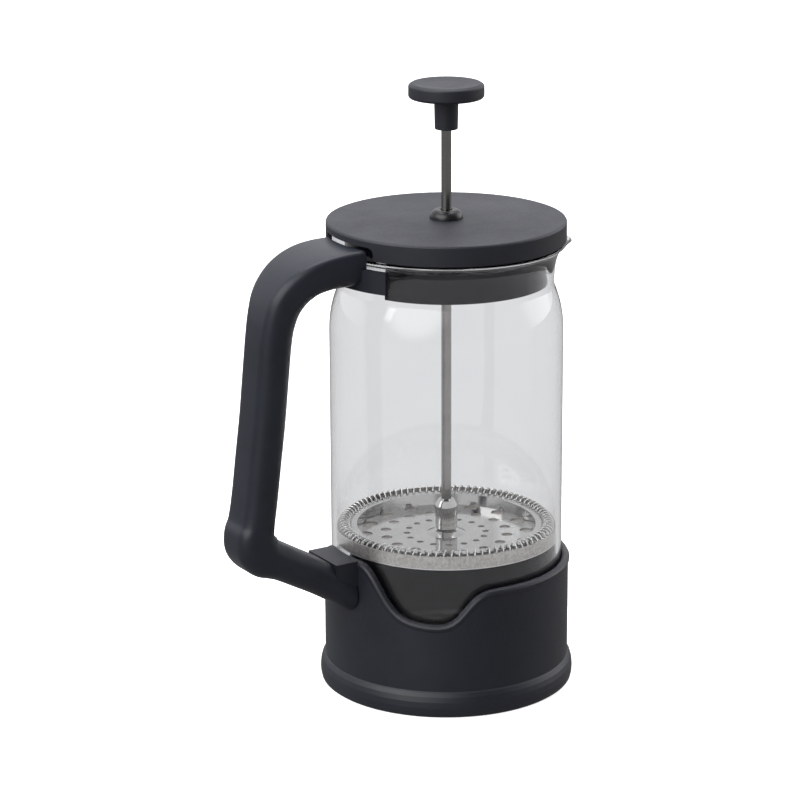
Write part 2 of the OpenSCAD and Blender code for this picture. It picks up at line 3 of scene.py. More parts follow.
import bmesh
import bpy
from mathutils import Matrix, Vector


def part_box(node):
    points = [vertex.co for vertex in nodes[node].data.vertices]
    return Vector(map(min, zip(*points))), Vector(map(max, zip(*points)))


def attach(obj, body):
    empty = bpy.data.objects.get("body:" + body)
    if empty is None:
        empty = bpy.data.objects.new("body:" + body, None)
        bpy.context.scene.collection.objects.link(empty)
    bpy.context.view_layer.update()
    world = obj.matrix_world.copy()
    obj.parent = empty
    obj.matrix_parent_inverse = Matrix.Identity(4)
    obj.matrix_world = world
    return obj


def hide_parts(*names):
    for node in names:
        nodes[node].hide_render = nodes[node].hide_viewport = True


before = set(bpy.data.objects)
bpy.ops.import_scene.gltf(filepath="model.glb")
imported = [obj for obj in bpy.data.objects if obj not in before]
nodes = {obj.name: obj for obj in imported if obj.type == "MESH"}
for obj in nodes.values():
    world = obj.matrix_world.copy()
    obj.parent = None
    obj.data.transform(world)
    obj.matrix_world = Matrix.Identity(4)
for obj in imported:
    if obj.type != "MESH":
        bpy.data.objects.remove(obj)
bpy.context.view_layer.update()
MM = 0.001
VIEW_AZ = math.radians(-32.5)


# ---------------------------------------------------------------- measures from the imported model
def ring_r(node, z0, z1, pick=max):
    """Radius of a node's vertices between two heights."""
    rs = [math.hypot(v.co.x, v.co.y) for v in nodes[node].data.vertices if z0 <= v.co.z <= z1]
    return pick(rs)


glass_lo, glass_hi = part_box("beaker")
cup_lo, cup_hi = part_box("base_cup")
lid_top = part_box("lid_cap")[1].z
knob_lo, knob_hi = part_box("knob")
rod_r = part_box("rod")[1].x / MM
hub_lo, hub_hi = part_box("rod_hub")
mesh_lo, mesh_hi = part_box("filter_mesh")
spring_lo, spring_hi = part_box("edge_spring")
guide_lo, guide_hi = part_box("rod_guide")
saddle_lo, saddle_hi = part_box("neck_saddle")

foot_z, rim_z = glass_lo.z, glass_hi.z
rim_r = -glass_lo.x  # the spout makes +X larger
GLASS_T = 2 * MM
HEEL_H = 9 * MM  # height of the rounded heel
SHOULDER, NECK, FLARE = 38.2 * MM, 18.2 * MM, 12 * MM  # how far below the rim each one starts
body_r = ring_r("beaker", foot_z + 8.5 * MM, foot_z + 9.5 * MM)
neck_r = ring_r("beaker", rim_z - 12.3 * MM, rim_z - 11.7 * MM)


# ---------------------------------------------------------------- mesh helpers
MAX_SHARE = 0.48  # of an edge that one corner may use
WELD, SLIVER = 0.015 * MM, 0.01 * MM  # what a boolean leaves closer together than this is joined
BEVEL_STEPS, BEVEL_ANGLE = 3, math.radians(50)


def fillet(points, n=6):
    """Rounds the corners of a closed outline of (r, z, corner radius) in mm. Returns (r, z) in metres."""
    out = []
    m = len(points)
    for i in range(m):
        p = Vector(points[i][:2])
        rad = points[i][2] if len(points[i]) > 2 else 0
        a, b = Vector(points[i - 1][:2]), Vector(points[(i + 1) % m][:2])
        if rad <= 0:
            out.append((p.x * MM, p.y * MM))
            continue
        u, v = (a - p).normalized(), (b - p).normalized()
        ang = u.angle(v)
        d = min(rad / math.tan(ang / 2), (a - p).length * MAX_SHARE, (b - p).length * MAX_SHARE)
        s, e = p + u * d, p + v * d
        for k in range(n + 1):
            t = k / n
            q = s * (1 - t) ** 2 + p * 2 * t * (1 - t) + e * t * t
            out.append((q.x * MM, q.y * MM))
    return out


def make_mesh(name, verts, faces, sharp=32):
    """A new object, smooth-shaded up to the given angle in degrees."""
    mesh = bpy.data.meshes.new(name)
    mesh.from_pydata([tuple(v) for v in verts], [], faces)
    bm = bmesh.new()
    bm.from_mesh(mesh)
    bmesh.ops.remove_doubles(bm, verts=bm.verts, dist=1e-7)
    bmesh.ops.recalc_face_normals(bm, faces=bm.faces)
    bm.to_mesh(mesh)
    bm.free()
    for p in mesh.polygons:
        p.use_smooth = True
    mesh.set_sharp_from_angle(angle=math.radians(sharp))
    ob = bpy.data.objects.new(name, mesh)
    bpy.context.scene.collection.objects.link(ob)
    return ob


def lathe(name, profile, seg=192, closed=True, shape=None, sharp=32):
    """Turns an outline of (r, z) in metres about the Z axis. shape(angle, r, z) may move each point."""
    verts, faces = [], []
    m = len(profile)
    for i in range(seg):
        a = 2 * math.pi * i / seg
        for r, z in profile:
            x, y, h = r * math.cos(a), r * math.sin(a), z
            if shape:
                x, y, h = shape(a, r, z)
            verts.append((x, y, h))
    for i in range(seg):
        k = (i + 1) % seg
        for j in range(m if closed else m - 1):
            l = (j + 1) % m
            if profile[j][0] < 1e-9 and profile[l][0] < 1e-9:
                continue
            faces.append((i * m + j, k * m + j, k * m + l, i * m + l))
    return make_mesh(name, verts, faces, sharp)


def cutter_box(name, lo, hi):
    verts = [(x, y, z) for x in (lo[0], hi[0]) for y in (lo[1], hi[1]) for z in (lo[2], hi[2])]
    faces = [(0, 1, 3, 2), (4, 6, 7, 5), (0, 4, 5, 1), (2, 3, 7, 6), (0, 2, 6, 4), (1, 5, 7, 3)]
    return make_mesh(name, verts, faces)


def cut(ob, cutters, bevel, sharp=32):
    """Subtracts the cutters from ob, bevels its edges, applies the result and removes the cutters."""
    for c in cutters:
        mod = ob.modifiers.new("cut", "BOOLEAN")
        mod.operation, mod.solver, mod.object = "DIFFERENCE", "EXACT", c
    mod = ob.modifiers.new("edge", "BEVEL")
    mod.width, mod.segments, mod.limit_method = bevel, BEVEL_STEPS, "ANGLE"
    mod.angle_limit = BEVEL_ANGLE
    dg = bpy.context.evaluated_depsgraph_get()
    new = bpy.data.meshes.new_from_object(ob.evaluated_get(dg))
    bm = bmesh.new()
    bm.from_mesh(new)
    bmesh.ops.remove_doubles(bm, verts=bm.verts, dist=WELD)
    bmesh.ops.dissolve_degenerate(bm, edges=bm.edges, dist=SLIVER)
    bm.to_mesh(new)
    bm.free()
    ob.modifiers.clear()
    ob.data = new
    for c in cutters:
        bpy.data.objects.remove(c)
    for p in ob.data.polygons:
        p.use_smooth = True
    ob.data.set_sharp_from_angle(angle=math.radians(sharp))


def paint(ob, mat):
    ob.data.materials.clear()
    ob.data.materials.append(mat)


def finish_piece(ob, body, mat, slot, *replaced):
    """Gives a piece its material and body, and hides the CAD nodes that it replaces. The slot argument is
    not used.
    """
    paint(ob, mat)
    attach(ob, body)
    if replaced:
        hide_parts(*replaced)


# ---------------------------------------------------------------- materials
class Nodes:
    """Short calls that fill the emptied node tree of a material or a world."""

    def __init__(self, owner, coord):
        owner.use_nodes = True
        self.t = owner.node_tree
        self.t.nodes.clear()
        self.coord = self.n("ShaderNodeTexCoord").outputs[coord]

    def n(self, kind, **values):
        node = self.t.nodes.new(kind)
        for k, v in values.items():
            setattr(node, k, v)
        return node

    def link(self, a, b):
        self.t.links.new(a, b)

    def noise(self, scale, detail=3.0, rough=0.55, coord=None, stretch=None):
        node = self.n("ShaderNodeTexNoise")
        node.inputs["Scale"].default_value = scale
        node.inputs["Detail"].default_value = detail
        node.inputs["Roughness"].default_value = rough
        src = coord or self.coord
        if stretch:
            mp = self.n("ShaderNodeMapping")
            mp.inputs["Scale"].default_value = stretch
            self.link(src, mp.inputs["Vector"])
            src = mp.outputs[0]
        self.link(src, node.inputs["Vector"])
        return node.outputs["Fac"]

    def ramp(self, fac, stops):
        """Colour ramp with (position, colour) stops."""
        node = self.n("ShaderNodeValToRGB")
        cr = node.color_ramp
        while len(cr.elements) < len(stops):
            cr.elements.new(0.5)
        for e, (pos, col) in zip(cr.elements, stops):
            e.position, e.color = pos, (*col, 1)
        self.link(fac, node.inputs["Fac"])
        return node.outputs["Color"]

    def span(self, fac, lo, hi, a=0.0, b=1.0, curve="LINEAR"):
        """Maps a..b of the input to lo..hi."""
        node = self.n("ShaderNodeMapRange", interpolation_type=curve)
        for i, v in enumerate((a, b, lo, hi)):
            node.inputs[i + 1].default_value = v
        self.link(fac, node.inputs[0])
        return node.outputs[0]

    def math(self, op, a, b=None):
        node = self.n("ShaderNodeMath", operation=op)
        for i, v in enumerate((a, b)):
            if v is None:
                continue
            if isinstance(v, (int, float)):
                node.inputs[i].default_value = v
            else:
                self.link(v, node.inputs[i])
        return node.outputs[0]

    def polar(self):
        """Angle about Z in radians, height and radius of the point."""
        sep = self.n("ShaderNodeSeparateXYZ")
        self.link(self.coord, sep.inputs[0])
        x, y, z = sep.outputs
        ang = self.math("ARCTAN2", y, x)
        squares = self.math("ADD", self.math("MULTIPLY", x, x), self.math("MULTIPLY", y, y))
        return ang, z, self.math("SQRT", squares)

    def mix(self, fac, a, b):
        """Shader a where fac is 0 and shader b where it is 1."""
        node = self.n("ShaderNodeMixShader")
        for i, socket in enumerate((fac, a, b)):
            self.link(socket, node.inputs[i])
        return node.outputs[0]


class Mat(Nodes):
    """A procedural material around one Principled shader."""

    def __init__(self, name, color, rough, metal=0.0, ior=1.5, spec=0.5):
        self.mat = bpy.data.materials.new(name)
        super().__init__(self.mat, "Object")
        self.out = self.n("ShaderNodeOutputMaterial")
        self.p = self.n("ShaderNodeBsdfPrincipled")
        self.link(self.p.outputs[0], self.out.inputs[0])
        self.p.inputs["Base Color"].default_value = (*color, 1)
        self.p.inputs["Roughness"].default_value = rough
        self.p.inputs["Metallic"].default_value = metal
        self.p.inputs["IOR"].default_value = ior
        self.p.inputs["Specular IOR Level"].default_value = spec
        self.normal = None

    def bump(self, height, strength, distance):
        """Adds a layer of bump on top of those before it."""
        node = self.n("ShaderNodeBump")
        node.inputs["Strength"].default_value = strength
        node.inputs["Distance"].default_value = distance
        self.link(height, node.inputs["Height"])
        if self.normal is not None:
            self.link(self.normal, node.inputs["Normal"])
        self.normal = node.outputs[0]
        self.link(self.normal, self.p.inputs["Normal"])


NOISE_SPAN = (0.3, 0.7)  # where most of a noise texture's values lie


def plastic(name, dark, light, rough, grain, depth, strength, soft=0.06, spec=0.5):
    """Moulded plastic with a spark-eroded grain, faint mottling and rubbed patches."""
    m = Mat(name, light, rough, spec=spec)
    mottle = m.noise(55, 4, 0.6)
    m.link(m.ramp(mottle, [(0.3, dark), (0.7, light)]), m.p.inputs["Base Color"])
    patch = m.noise(24, 5, 0.65)
    fine = m.noise(grain * 0.6, 2, 0.5)
    rubbed = m.span(patch, rough - soft, rough + soft, *NOISE_SPAN)
    m.link(m.math("ADD", rubbed, m.span(fine, -0.03, 0.03, *NOISE_SPAN)), m.p.inputs["Roughness"])
    m.bump(m.noise(grain, 2.5, 0.6), strength, depth)
    m.bump(m.noise(90, 2, 0.5), 0.06, 0.0004)
    return m.mat


def steel(name, tint, rough, streak=(1, 1, 1), scale=300, depth=0.000012, strength=0.2, turned=False):
    """Polished or brushed stainless steel with drawn or turned lines and faint stains."""
    soft = 0.05  # how far the stains change the roughness
    m = Mat(name, tint, rough, metal=1.0)
    if turned:
        ang, z, rad = m.polar()
        comb = m.n("ShaderNodeCombineXYZ")
        m.link(rad, comb.inputs[0])
        m.link(z, comb.inputs[1])
        m.link(m.math("MULTIPLY", ang, 0.0006), comb.inputs[2])
        lines = m.noise(scale * 8, 3, 0.6, coord=comb.outputs[0])
    else:
        lines = m.noise(scale, 4, 0.6, stretch=streak)
    stain = m.noise(38, 4, 0.6)
    dark = tuple(c * 0.86 for c in tint)
    m.link(m.ramp(stain, [(0.3, dark), (0.65, tint)]), m.p.inputs["Base Color"])
    dull = m.span(stain, rough - soft * 0.5, rough + soft, 0.3, 0.75)
    drawn = m.span(lines, -soft * 0.4, soft * 0.5, *NOISE_SPAN)
    m.link(m.math("ADD", dull, drawn), m.p.inputs["Roughness"])
    m.bump(lines, strength, depth)
    return m.mat


def glass_material():
    """Clear borosilicate with a faint grey cast and the waviness of drawn tube."""
    m = Mat("beaker_glass_mat", (0.965, 0.972, 0.975), 0.0, ior=1.47, spec=0.3)
    m.p.inputs["Transmission Weight"].default_value = 1.0
    cast = m.ramp(m.noise(18, 2, 0.5), [(0.3, (0.945, 0.952, 0.957)), (0.7, (0.975, 0.98, 0.983))])
    m.link(cast, m.p.inputs["Base Color"])
    m.bump(m.noise(22, 2, 0.4, stretch=(1, 1, 0.25)), 0.12, 0.0006)
    # Shadow rays pass nearly straight through, so that the glass casts only a faint shadow
    clear = m.n("ShaderNodeBsdfTransparent")
    clear.inputs[0].default_value = (0.9, 0.9, 0.9, 1)
    shadow = m.n("ShaderNodeLightPath").outputs["Is Shadow Ray"]
    m.link(m.mix(shadow, m.p.outputs[0], clear.outputs[0]), m.out.inputs[0])
    return m.mat


def weave_material():
    """Fine woven stainless cloth: warp and weft wires, with painted shade, dark brown, in the gaps
    between them.
    """
    m = Mat("woven_mesh_mat", (0.42, 0.39, 0.36), 0.42, metal=1.0)
    ang, z, rad = m.polar()
    along = m.math("MULTIPLY", ang, 0.046)  # the screen's radius turns the angle into a length
    up = m.math("ADD", z, m.math("MULTIPLY", rad, -1.0))
    wires = 2 * math.pi / 0.00042
    warp = m.math("SINE", m.math("MULTIPLY", along, wires))
    weft = m.math("SINE", m.math("MULTIPLY", up, wires))
    cross = m.math("MAXIMUM", m.math("ABSOLUTE", warp), m.math("ABSOLUTE", weft))
    stain = m.noise(70, 4, 0.6)
    grit = m.noise(900, 2, 0.5)
    stained = m.span(stain, 0.8, 1.1, *NOISE_SPAN)
    # Where both wires dip, in the gaps, the tone drops: the dark brown there is painted shade seen
    # through the holes of the cloth
    tone = m.math("MULTIPLY", m.span(cross, 0.45, 1.0, 0.3, 1.0), stained)
    tone = m.math("MULTIPLY", tone, m.span(grit, 0.75, 1.2, *NOISE_SPAN))
    # The dark brown first stop is painted shade in the gaps between the wires
    stops = [(0.2, (0.13, 0.115, 0.10)), (0.65, (0.47, 0.445, 0.42)), (1.0, (0.66, 0.64, 0.62))]
    m.link(m.ramp(tone, stops), m.p.inputs["Base Color"])
    m.link(m.span(stain, 0.36, 0.5, *NOISE_SPAN), m.p.inputs["Roughness"])
    m.bump(cross, 0.5, 0.00006)
    return m.mat


def rubber(name, tone):
    """Matt rubber with a fine grain."""
    m = Mat(name, tone, 0.75, spec=0.35)
    dark = tuple(c * 0.7 for c in tone)
    m.link(m.ramp(m.noise(60, 4), [(0.3, dark), (0.7, tone)]), m.p.inputs["Base Color"])
    m.bump(m.noise(1500, 2), 0.3, 0.00005)
    return m.mat


M_HOLDER = plastic("holder_plastic_mat", (0.0100, 0.0114, 0.0180), (0.0138, 0.0157, 0.0245),
                   0.46, grain=2600, depth=0.00003, strength=0.14)
M_HANDLE = plastic("handle_plastic_mat", (0.016, 0.0178, 0.0255), (0.021, 0.0236, 0.034),
                   0.34, grain=2600, depth=0.00003, strength=0.2, spec=0.36)
M_LID = plastic("lid_plastic_mat", (0.0115, 0.0128, 0.0185), (0.0160, 0.0176, 0.0255),
                0.5, grain=1900, depth=0.00006, strength=0.5)
M_COLLAR = plastic("collar_plastic_mat", (0.006, 0.0065, 0.009), (0.009, 0.0095, 0.013),
                   0.3, grain=3000, depth=0.00001, strength=0.1, soft=0.04, spec=0.15)
M_GUIDE = plastic("guide_plastic_mat", (0.008, 0.0082, 0.0095), (0.011, 0.0112, 0.0125),
                  0.3, grain=3000, depth=0.00002, strength=0.15, soft=0.04)
M_ROD = steel("rod_steel_mat", (0.34, 0.325, 0.315), 0.14, (900, 900, 4), 1.0, 0.00001, 0.15)
M_HUB = steel("hub_steel_mat", (0.64, 0.63, 0.62), 0.12, turned=True, scale=300, depth=0.000008)
M_PLATE = steel("plate_steel_mat", (0.57, 0.565, 0.56), 0.1, turned=True, scale=260, depth=0.00001)
M_HEM = steel("hem_steel_mat", (0.86, 0.855, 0.85), 0.3, turned=True, scale=200)
M_SPRING = steel("spring_wire_mat", (0.9, 0.895, 0.89), 0.16, (1, 1, 1), 500, 0.000004, 0.1)
M_CROSS = steel("cross_steel_mat", (0.5, 0.5, 0.5), 0.3, (40, 900, 40), 1.0, 0.00001, 0.3)
M_SCREW = steel("screw_steel_mat", (0.5, 0.5, 0.51), 0.3, turned=True, scale=200)
M_BRASS = steel("insert_brass_mat", (0.6, 0.45, 0.2), 0.25, turned=True, scale=250)
M_GLASS = glass_material()
M_WEAVE = weave_material()
M_PAD = rubber("pad_rubber_mat", (0.045, 0.045, 0.047))

CAD_MATERIALS = {
    M_HOLDER: ("base_cup", "neck_saddle"), M_HANDLE: ("handle",), M_LID: ("lid_cap", "knob"),
    M_COLLAR: ("lid_collar",), M_GUIDE: ("rod_guide",), M_PAD: ("base_pad",), M_BRASS: ("knob_insert",),
    M_SCREW: ("saddle_screw_l", "saddle_screw_r", "arm_screw"), M_ROD: ("rod",), M_HUB: ("rod_hub",),
    M_PLATE: ("perforated_plate",), M_CROSS: ("cross_plate", "cross_hub", "lock_washer"),
    M_SPRING: ("edge_spring",), M_WEAVE: ("filter_mesh",), M_GLASS: ("beaker",),
}
for cad_mat, names in CAD_MATERIALS.items():
    for name in names:
        paint(nodes[name], cad_mat)


# ---------------------------------------------------------------- glass beaker
def wall(z, inner):
    """Radius of the glass at a height, outside or inside."""
    t = GLASS_T if inner else 0.0
    shoulder_z, neck_z, flare_z = rim_z - SHOULDER, rim_z - NECK, rim_z - FLARE
    if z < foot_z + HEEL_H:
        q = 1 - (z - foot_z - t) / (HEEL_H - t)
        q = min(max(q, 0.0), 1.0)
        return body_r - t - HEEL_IN * (1 - math.sqrt(max(0.0, 1 - q ** 2.4)))
    if z < shoulder_z:
        return body_r - t
    if z < neck_z:
        u = (z - shoulder_z) / (neck_z - shoulder_z)
        return body_r - t - (body_r - neck_r) * u ** 2.2
    if z < flare_z:
        return neck_r - t
    u = (z - flare_z) / (rim_z - LIP_H - flare_z)
    f = 0.22 * u * u + 0.78 * u ** 3.4
    return neck_r - t * (1 - 0.25 * u) + (rim_r - neck_r) * f


def heights(a, b, n):
    return [a + (b - a) * i / n for i in range(n + 1)]


def spout(a, r, z):
    """Draws the rim out into a small pouring lip."""
    d = math.atan2(math.sin(a - SPOUT_A), math.cos(a - SPOUT_A))
    w = math.exp(-(d / SPOUT_HALF) ** 2)
    rise = min(max((z - (rim_z - SPOUT_H)) / SPOUT_H, 0.0), 1.0) ** 1.7
    pull, drop = SPOUT_OUT * w * rise, SPOUT_DOWN * w * rise
    return (r + pull) * math.cos(a), (r + pull) * math.sin(a), z - drop


HEEL_IN = 8 * MM  # how far the heel curves in
LIP_H = 1.1 * MM
SPOUT_A, SPOUT_HALF = math.radians(-25), math.radians(9.5)
SPOUT_H, SPOUT_OUT, SPOUT_DOWN = 24 * MM, 3.0 * MM, 0.7 * MM
FLOOR_RINGS = (20, 34)

outer = [(0.0, foot_z)] + [(r * MM, foot_z) for r in FLOOR_RINGS]
outer += [(wall(z, False), z) for z in heights(foot_z + 0.02 * MM, foot_z + HEEL_H, 14)]
outer += [(body_r, z) for z in heights(foot_z + 12 * MM, rim_z - 40 * MM, 20)]
outer += [(wall(z, False), z) for z in heights(rim_z - 38 * MM, rim_z - 1.2 * MM, 52)]
lip = [(rim_r - x * MM, rim_z - z * MM)
       for x, z in ((0, 0.9), (0.25, 0.35), (0.75, 0.05), (1.3, 0.05), (1.75, 0.4))]
inner = [(wall(z, True), z) for z in heights(rim_z - 1.4 * MM, rim_z - 38 * MM, 50)]
inner += [(body_r - GLASS_T, z) for z in heights(rim_z - 40 * MM, foot_z + 12 * MM, 20)]
inner += [(wall(z, True), z) for z in heights(foot_z + HEEL_H, foot_z + 2.02 * MM, 14)]
inner += [(r * MM, foot_z + GLASS_T) for r in reversed(FLOOR_RINGS)] + [(0.0, foot_z + GLASS_T)]
beaker = lathe("beaker_glass", outer + lip + inner, 256, closed=False, shape=spout, sharp=60)
finish_piece(beaker, "beaker", M_GLASS, "beaker_glass", "beaker")


# ---------------------------------------------------------------- handle
block_z = saddle_lo.z / MM + 8.6  # mid height of the top block
arm_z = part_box("arm_screw")[0].z / MM + 2.2  # the lower arm's axis at the cup
cup_r = ring_r("base_cup", 10.8 * MM, 11.2 * MM) / MM
grip_x = body_r / MM + 35.4  # the grip's axis at its top
KICK = 10.7  # how much further out the grip ends
GA, GB = 7.16, 11.0  # half thickness and half width of the grip
TOP_BEND, LOW_BEND = 26, 46  # where the straight grip starts below block_z and ends above arm_z
SPLINE_STEPS, CORNER_STEPS = 8, 12


def grip_z(t):
    return (block_z - TOP_BEND) * (1 - t) + (arm_z + LOW_BEND) * t


def arm_x(t):
    return cup_r + t * (grip_x - cup_r)


# Distance from the axis, height, half thickness, half width, outer and inner corner radius, all in mm
STATIONS = [
    (cup_r - 4, block_z + 0.6, 7.2, 15.5, 2.2, 4.4), (cup_r + 4.5, block_z + 0.4, 7.2, 15.5, 2.2, 4.4),
    (grip_x - 21, block_z - 0.3, 7.0, 15.2, 2.5, 4.6),
    (grip_x - 14.4, block_z - 2.2, 6.9, 14.5, 3.2, 5),
    (grip_x - 8.6, block_z - 5.8, 7.25, 13.25, 4.2, 5.6),
    (grip_x - 4.2, block_z - 11, GA + 0.3, GB + 1.1, 5, 5.9),
    (grip_x - 1.6, block_z - 17.6, GA + 0.1, GB + 0.4, 5.6, 6.2),
    (grip_x + 0.1, block_z - TOP_BEND, GA, GB, 6, 6.4),
    (grip_x + 0.18 * KICK, grip_z(0.25), GA, GB, 6.2, 6.5),
    (grip_x + 0.34 * KICK, grip_z(0.5), GA, GB, 6.2, 6.5),
    (grip_x + 0.54 * KICK, grip_z(0.75), GA, GB, 6.2, 6.5),
    (grip_x + 0.74 * KICK, arm_z + LOW_BEND, GA, GB, 6.2, 6.5),
    (grip_x + 0.89 * KICK, arm_z + 36.1, GA + 0.2, GB, 6.2, 6.5),
    (grip_x + 0.98 * KICK, arm_z + 31.1, GA + 1.2, GB, 6.2, 6.5),
    (grip_x + 0.91 * KICK, arm_z + 26.4, GA + 2.1, GB, 6.3, 6.5),
    (grip_x + 0.65 * KICK, arm_z + 22.5, GA + 1.7, GB + 0.1, 6.4, 6.5),
    (grip_x + 0.27 * KICK, arm_z + 20.2, GA + 0.8, GB + 0.2, 6.4, 6.5),
    (grip_x - 1.4, arm_z + 18.1, GA + 0.3, GB + 0.3, 6.5, 6.5),
    (arm_x(0.72), arm_z + 13.8, GA + 0.1, GB + 0.5, 6.6, 6.6),
    (arm_x(0.45), arm_z + 8.9, GA, GB + 0.8, 6.8, 6.8),
    (arm_x(0.2), arm_z + 4, GA, GB + 1, 6.8, 6.8),
    (cup_r - 6, arm_z - 3.4, GA, GB + 1, 6.8, 6.8)]


def spline(p, i, t):
    """Catmull-Rom curve through every value of the stations."""
    a, b, c, d = p[max(i - 1, 0)], p[i], p[i + 1], p[min(i + 2, len(p) - 1)]
    return [0.5 * (2 * b[k] + (c[k] - a[k]) * t + (2 * a[k] - 5 * b[k] + 4 * c[k] - d[k]) * t * t
                   + (3 * b[k] - a[k] - 3 * c[k] + d[k]) * t ** 3) for k in range(len(b))]


def oblong(a, b, ro, ri):
    """Rounded section of the handle: half thickness, half width, outer and inner corner radius."""
    pts = []
    for q in range(4):
        r = ro if q < 2 else ri
        sn, sw = (1 if q < 2 else -1), (1 if q in (0, 3) else -1)
        for k in range(CORNER_STEPS + 1):
            f = math.radians(q * 90 + k * 90 / CORNER_STEPS)
            pts.append((sn * (a - r) + r * math.sin(f), sw * (b - r) + r * math.cos(f)))
    return pts


path = [spline(STATIONS, i, k / SPLINE_STEPS) for i in range(len(STATIONS) - 1)
        for k in range(SPLINE_STEPS)] + [list(STATIONS[-1])]
verts, faces = [], []
for i, s in enumerate(path):
    p, q = path[max(i - 1, 0)], path[min(i + 1, len(path) - 1)]
    dx, dz = q[0] - p[0], q[1] - p[1]
    step = math.hypot(dx, dz)
    for n, w in oblong(s[2], s[3], s[4], s[5]):
        verts.append((-(s[0] - n * dz / step) * MM, w * MM, (s[1] + n * dx / step) * MM))
m = len(verts) // len(path)
for i in range(len(path) - 1):
    for j in range(m):
        l = (j + 1) % m
        faces.append((i * m + j, (i + 1) * m + j, (i + 1) * m + l, i * m + l))
faces.append(tuple(range(m)))
faces.append(tuple((len(path) - 1) * m + j for j in range(m)))
handle = make_mesh("handle_body", verts, faces)


def drum(name, r, z0, z1):
    return lathe(name, [(0.0, z0), (r, z0), (r, z1), (0.0, z1)], 256, closed=False)


# The handle is cut back from the cup, the beaker's neck, the saddle and the cup's lug
FIT = 0.1 * MM
CUP_FIT = 0.7 * MM
LUG_Y, LUG_H, LUG_TOP = 11.4 * MM, 11.1 * MM, 0.09
CUP_CUT_TOP, NECK_CUT_Z, NECK_CUT_TOP = 98 * MM, 150 * MM, 240 * MM
saddle_in = ring_r("neck_saddle", saddle_lo.z, saddle_hi.z, min)
saddle_out = ring_r("neck_saddle", saddle_lo.z, saddle_hi.z)
cut(handle, [
    drum("c1", cup_r * MM + CUP_FIT, 0.0, CUP_CUT_TOP),
    drum("c2", saddle_in + FIT, NECK_CUT_Z, NECK_CUT_TOP),
    drum("c3", saddle_out + FIT, NECK_CUT_Z, saddle_hi.z + FIT),
    cutter_box("c4", (cup_lo.x - FIT, -LUG_Y - FIT, cup_hi.z - LUG_H), (0, LUG_Y + FIT, LUG_TOP)),
], bevel=0.35 * MM)
finish_piece(handle, "holder", M_HANDLE, "handle_plastic", "handle")


# ---------------------------------------------------------------- filter: coil, screen, hem
TURNS, PER_TURN, SIDES = 90, 24, 8
WIRE_R = 0.3 * MM
spring_h = spring_hi.z - spring_lo.z
coil_c = spring_hi.x - spring_h / 2
coil_z = (spring_hi.z + spring_lo.z) / 2
coil_r = spring_h / 2 - WIRE_R
total = TURNS * PER_TURN
ez = Vector((0, 0, 1))
verts, faces = [], []
for i in range(total):
    u, a = 2 * math.pi * i / PER_TURN, 2 * math.pi * i / total
    er = Vector((math.cos(a), math.sin(a), 0))
    et = Vector((-math.sin(a), math.cos(a), 0))
    e = er * math.cos(u) + ez * math.sin(u)
    tan = (-er * math.sin(u) + ez * math.cos(u)) * coil_r + et * (coil_c / TURNS)
    b = e.cross(tan.normalized())
    c = er * coil_c + ez * coil_z + e * coil_r
    for k in range(SIDES):
        f = 2 * math.pi * k / SIDES
        verts.append(c + (e * math.cos(f) + b * math.sin(f)) * WIRE_R)
for i in range(total):
    k = (i + 1) % total
    for j in range(SIDES):
        l = (j + 1) % SIDES
        faces.append((i * SIDES + j, i * SIDES + l, k * SIDES + l, k * SIDES + j))
coil = make_mesh("spring_coil", verts, faces, sharp=80)
finish_piece(coil, "plunger", M_SPRING, "spring_steel", "edge_spring")

SCREEN_HOLE, HEM_R, HEM_IN = 2.2, 0.4, 0.42
mr, mz, mh = mesh_hi.x / MM, mesh_lo.z / MM, (mesh_hi.z - mesh_lo.z) / MM
screen = lathe("filter_screen", fillet([
    (SCREEN_HOLE, mz + 0.02, 0), (mr - 0.05, mz + 0.02, 0.7), (mr - 0.02, mz + mh, 0.1),
    (mr - 0.28, mz + mh, 0.1), (mr - 0.32, mz + 0.3, 0.5), (SCREEN_HOLE, mz + 0.28, 0)]), 256)
finish_piece(screen, "plunger", M_WEAVE, "mesh_steel", "filter_mesh")
hem_ring = [2 * math.pi * k / 12 for k in range(12)]
hem = lathe("screen_hem", [
    ((mr - HEM_IN + HEM_R * math.cos(t)) * MM, (mz + HEM_IN + HEM_R * math.sin(t)) * MM)
    for t in hem_ring], 256, sharp=80)
finish_piece(hem, "plunger", M_HEM, "polished_steel")

# ---------------------------------------------------------------- knob, rod guide and hub, turned smooth
kr, k0, k1 = knob_hi.x / MM, knob_lo.z / MM, knob_hi.z / MM
DISC_H = 6.2  # thickness of the knob's disc
INSERT_TOP = 11.5  # height of the knob's bore
bore = rod_r + 0.3
disc = k1 - DISC_H
knob = lathe("knob_body", fillet([
    (bore, k0, 0.1), (4.75, k0, 0.35), (5.0, disc - 0.3, 0.9), (kr - 0.6, disc + 0.05, 1.0),
    (kr, disc + 0.9, 1.0), (kr, k1 - 0.9, 1.0), (kr - 1.4, k1, 0.9), (kr - 3.0, k1 - 0.16, 3.0),
    (kr - 8, k1 - 0.62, 5.0), (0.0, k1 - 0.7, 0), (0.0, k0 + INSERT_TOP, 0),
    (bore, k0 + INSERT_TOP, 0)], 8), 192, sharp=40)
finish_piece(knob, "plunger", M_LID, "lid_plastic", "knob")

